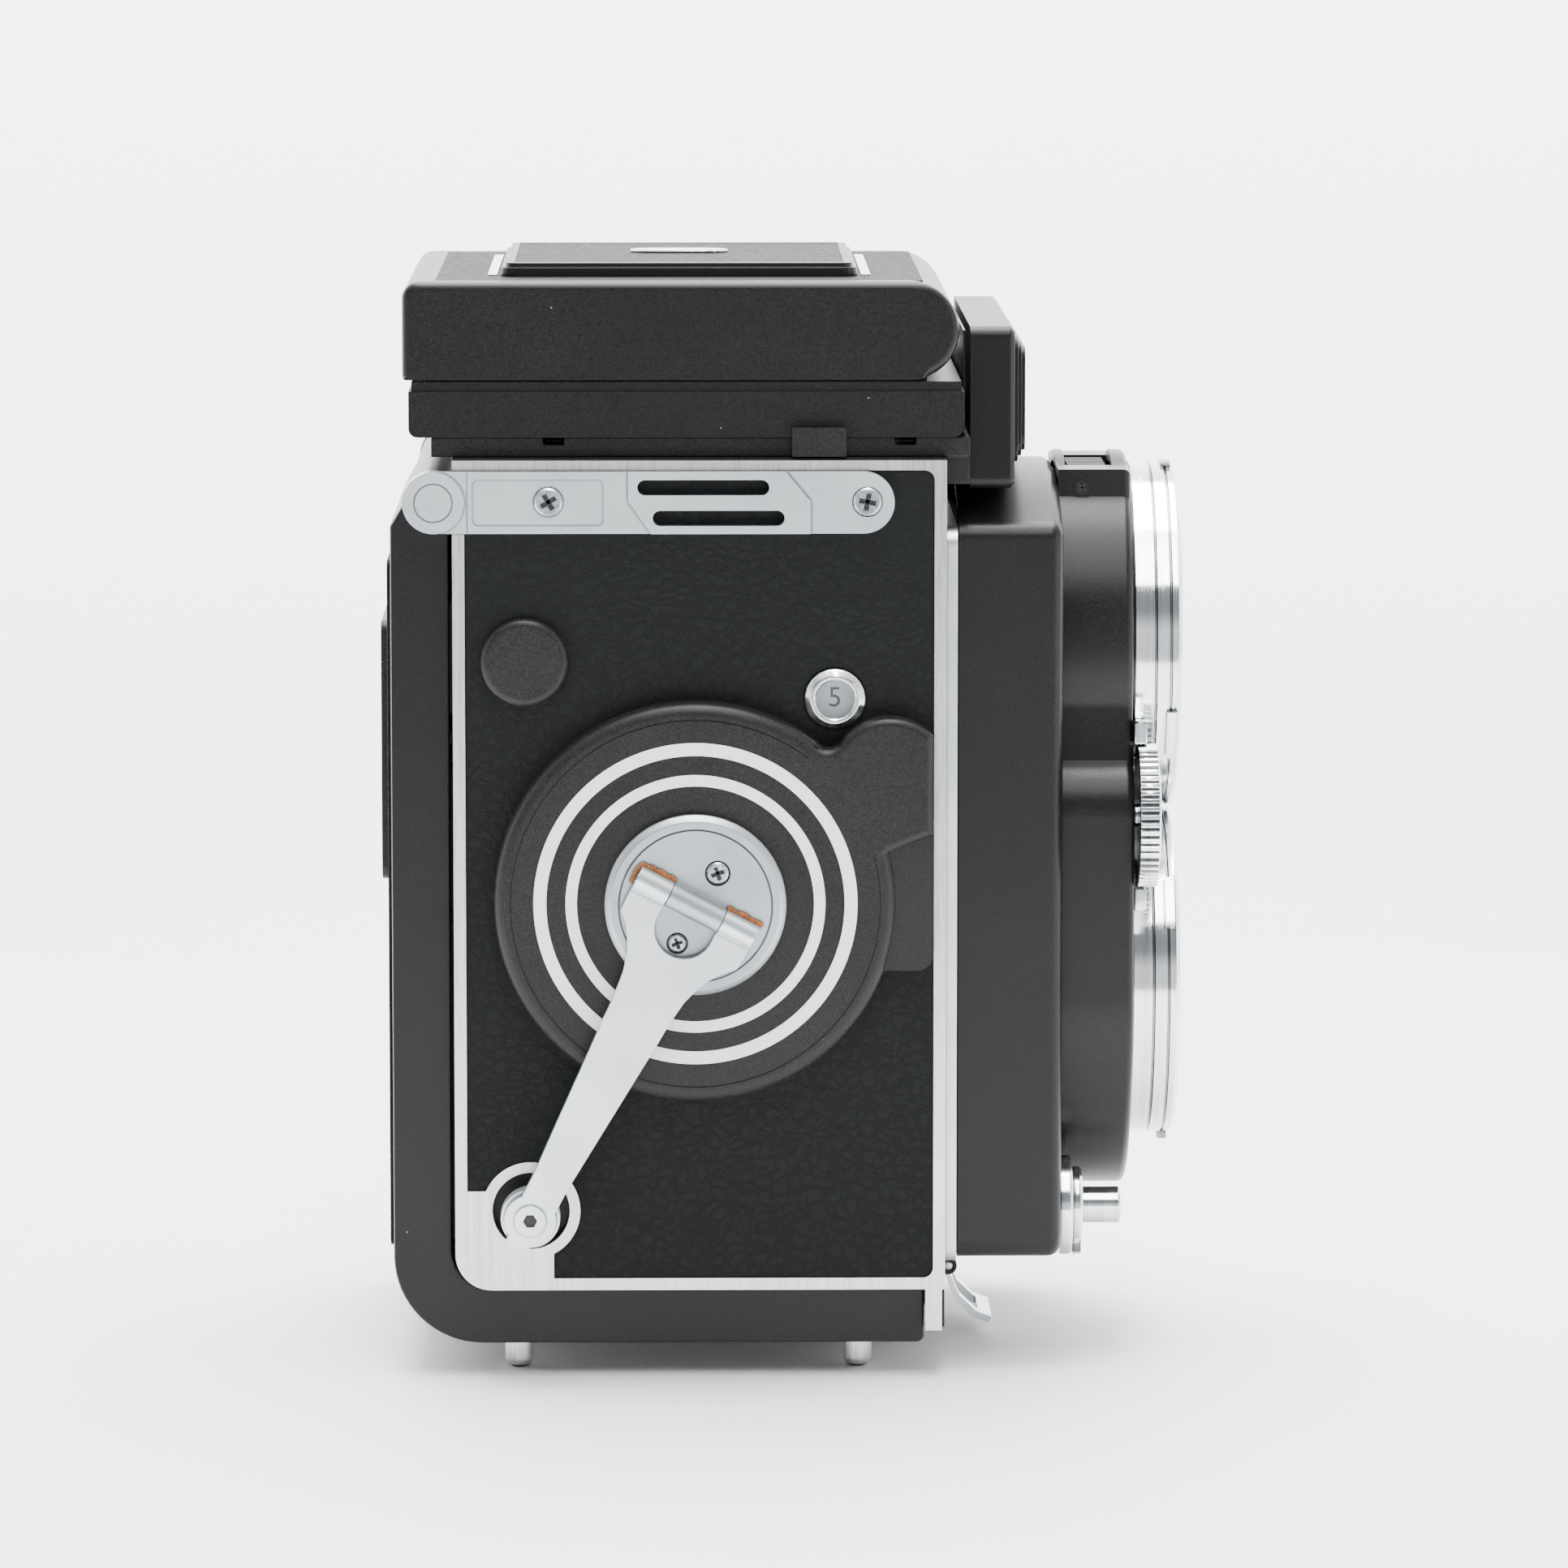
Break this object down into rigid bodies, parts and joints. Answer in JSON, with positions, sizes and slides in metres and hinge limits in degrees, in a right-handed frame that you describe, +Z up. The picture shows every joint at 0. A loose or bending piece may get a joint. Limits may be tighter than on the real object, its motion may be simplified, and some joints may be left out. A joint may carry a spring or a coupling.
{
  "type": "twin lens reflex camera",
  "caption": "Box-shaped roll-film camera with a viewing lens above a taking lens, folding waist-level hood, winding crank, focusing knob and hinged back.",
  "frame": {"origin": "middle of the tripod socket's mouth, on the underside of the back door", "axes": "-Y out of the lenses, +Z up, crank on the -X side, focusing knob on the +X side"},
  "size_m": [0.1029, 0.1063, 0.1469],
  "materials": {
    "black_paint": "satin black enamel with a fine texture",
    "black_plastic": "satin moulded black",
    "brass": "cut brass",
    "brushed_aluminium": "brushed natural aluminium",
    "chrome": "brushed and polished chrome",
    "clear_window": "clear",
    "dial": "pale grey with engraved figures",
    "ground_glass": "ground on one face",
    "leather": "black pebbled leather",
    "lens_glass": "coated optical glass",
    "matt_black": "matt black paint",
    "mirror": "front-silvered",
    "satin_metal": "satin chrome, blasted",
    "silver_inlay": "silver paint in a turned groove",
    "spool_plastic": "moulded",
    "steel": "plain steel"
  },
  "bodies": {
    "body": {"body_shell": "black_paint", "side_plates": "brushed_aluminium", "side_leather": "leather", "strap_brackets": "satin_metal", "bracket_screws": "steel", "hinge_pins": "steel", "crank_housing": "matt_black", "crank_trim_rings": "silver_inlay", "spool_port_cap": "matt_black", "counter_bezel": "chrome", "counter_window": "clear_window", "front_guard": "satin_metal", "film_gate": "matt_black", "reflex_mirror": "mirror", "focusing_screen": "ground_glass", "hood_mount": "matt_black", "hood_frame": "black_paint", "name_block": "black_plastic", "name_plate": "black_plastic"},
    "counter": {"counter_dial": "dial"},
    "catch_right": {"hood_catch_right": "matt_black"},
    "catch_left": {"hood_catch_left": "matt_black"},
    "standard": {"lens_standard": "black_paint", "lens_cover": "black_paint", "viewing_barrel": "chrome", "taking_barrel": "chrome", "lens_glasses": "lens_glass", "shutter_case": "matt_black", "wheel_guards": "chrome", "release_collar": "chrome", "flash_socket": "chrome"},
    "aperture_wheel": {"aperture_wheel": "chrome"},
    "shutter_wheel": {"shutter_wheel": "chrome"},
    "release_lock": {"release_lock": "chrome"},
    "release_button": {"release_button": "chrome"},
    "crank": {"crank_hub": "satin_metal", "crank_gear": "brass", "crank_screws": "steel"},
    "crank_arm": {"crank_arm": "satin_metal"},
    "crank_knob": {"crank_knob": "satin_metal"},
    "idler": {"idler_gear": "brass"},
    "take_up": {"take_up_gear": "brass", "take_up_spool": "spool_plastic"},
    "focus_knob": {"focus_knob": "chrome"},
    "spool_knob_upper": {"spool_knobs_upper": "chrome"},
    "spool_knob_lower": {"spool_knobs_lower": "chrome"},
    "door": {"back_door": "black_paint", "door_fittings": "brushed_aluminium", "door_leather": "leather", "table_holder": "matt_black", "pressure_plate": "matt_black"},
    "latch": {"door_latch": "satin_metal"},
    "lid": {"hood_lid": "black_paint", "hood_leather": "leather", "hood_flap": "black_paint", "hood_trim": "chrome"},
    "panel_right": {"hood_panel_right": "matt_black"},
    "panel_left": {"hood_panel_left": "matt_black"},
    "panel_rear": {"hood_panel_rear": "matt_black"},
    "magnifier": {"magnifier": "matt_black"}
  },
  "joints": [
    {"name": "crank_turn", "type": "hinge", "parent": "body", "child": "crank", "pos_m": [-0.044, -0.0031, 0.0595], "axis": [-1, 0, 0], "continuous": true},
    {"name": "crank_fold", "type": "hinge", "parent": "crank", "child": "crank_arm", "pos_m": [-0.0459, -0.0031, 0.0595], "axis": [0, 0.8854, 0.4648], "range_deg": [0, 180]},
    {"name": "crank_knob_spin", "type": "hinge", "parent": "crank_arm", "child": "crank_knob", "pos_m": [-0.044, 0.01861, 0.01815], "axis": [-1, 0, 0], "continuous": true},
    {"name": "idler_turn", "type": "hinge", "parent": "body", "child": "idler", "pos_m": [-0.0353, 0.01022, 0.07825], "axis": [-1, 0, 0], "continuous": true},
    {"name": "take_up_turn", "type": "hinge", "parent": "body", "child": "take_up", "pos_m": [0, 0.01919, 0.09089], "axis": [-1, 0, 0], "continuous": true},
    {"name": "counter_turn", "type": "hinge", "parent": "body", "child": "counter", "pos_m": [-0.0365, -0.0214, 0.082], "axis": [-1, 0, 0], "continuous": true},
    {"name": "focus_turn", "type": "hinge", "parent": "body", "child": "focus_knob", "pos_m": [0.045, -0.0031, 0.0595], "axis": [1, 0, 0], "range_deg": [0, 270]},
    {"name": "focus_slide", "type": "slide", "parent": "body", "child": "standard", "axis": [0, -1, 0], "range_m": [0, 0.007]},
    {"name": "aperture_turn", "type": "hinge", "parent": "standard", "child": "aperture_wheel", "pos_m": [0.0258, -0.0613, 0.069], "axis": [0, -1, 0], "range_deg": [0, 150]},
    {"name": "shutter_turn", "type": "hinge", "parent": "standard", "child": "shutter_wheel", "pos_m": [-0.0258, -0.0613, 0.069], "axis": [0, -1, 0], "range_deg": [0, 200]},
    {"name": "release_press", "type": "slide", "parent": "standard", "child": "release_button", "axis": [0, 1, 0], "range_m": [0, 0.0025], "stiffness_N_per_m": 300},
    {"name": "release_lock_turn", "type": "hinge", "parent": "standard", "child": "release_lock", "pos_m": [-0.024, -0.0516, 0.0163], "axis": [0, -1, 0], "range_deg": [0, 40]},
    {"name": "upper_spool_knob_pull", "type": "slide", "parent": "body", "child": "spool_knob_upper", "axis": [1, 0, 0], "range_m": [0, 0.005]},
    {"name": "lower_spool_knob_pull", "type": "slide", "parent": "body", "child": "spool_knob_lower", "axis": [1, 0, 0], "range_m": [0, 0.005]},
    {"name": "catch_right_slide", "type": "slide", "parent": "body", "child": "catch_right", "axis": [0, -1, 0], "range_m": [0, 0.003]},
    {"name": "catch_left_slide", "type": "slide", "parent": "body", "child": "catch_left", "axis": [0, -1, 0], "range_m": [0, 0.003]},
    {"name": "door_hinge", "type": "hinge", "parent": "body", "child": "door", "pos_m": [0, 0.031, 0.1119], "axis": [1, 0, 0], "range_deg": [0, 90]},
    {"name": "latch_lift", "type": "hinge", "parent": "body", "child": "latch", "pos_m": [0, -0.0374, 0.0052], "axis": [-1, 0, 0], "range_deg": [0, 30], "stiffness_Nm_per_rad": 0.01},
    {"name": "hood_open", "type": "hinge", "parent": "body", "child": "lid", "pos_m": [0, -0.0313, 0.134], "axis": [1, 0, 0], "range_deg": [0, 90]},
    {"name": "panel_right_rise", "type": "hinge", "parent": "body", "child": "panel_right", "pos_m": [-0.0332, 0, 0.1284], "axis": [0, -1, 0], "range_deg": [0, 90]},
    {"name": "panel_left_rise", "type": "hinge", "parent": "body", "child": "panel_left", "pos_m": [0.0332, 0, 0.1284], "axis": [0, 1, 0], "range_deg": [0, 90]},
    {"name": "panel_rear_rise", "type": "hinge", "parent": "body", "child": "panel_rear", "pos_m": [0, 0.0323, 0.1284], "axis": [-1, 0, 0], "range_deg": [0, 90]},
    {"name": "magnifier_swing", "type": "hinge", "parent": "lid", "child": "magnifier", "pos_m": [0, 0.0067, 0.137], "axis": [1, 0, 0], "range_deg": [-90, 0]}
  ],
  "couplings": [
    {"joint": "idler_turn", "follows": "crank_turn", "ratio": -2.2857},
    {"joint": "take_up_turn", "follows": "crank_turn", "ratio": 1.8824},
    {"joint": "counter_turn", "follows": "crank_turn", "ratio": -0.083333},
    {"joint": "focus_slide", "follows": "focus_turn", "m_per_rad": 0.0014854},
    {"joint": "panel_right_rise", "follows": "hood_open", "ratio": 1},
    {"joint": "panel_left_rise", "follows": "hood_open", "ratio": 1},
    {"joint": "panel_rear_rise", "follows": "hood_open", "ratio": 1},
    {"joint": "magnifier_swing", "follows": "hood_open", "ratio": -1}
  ]
}
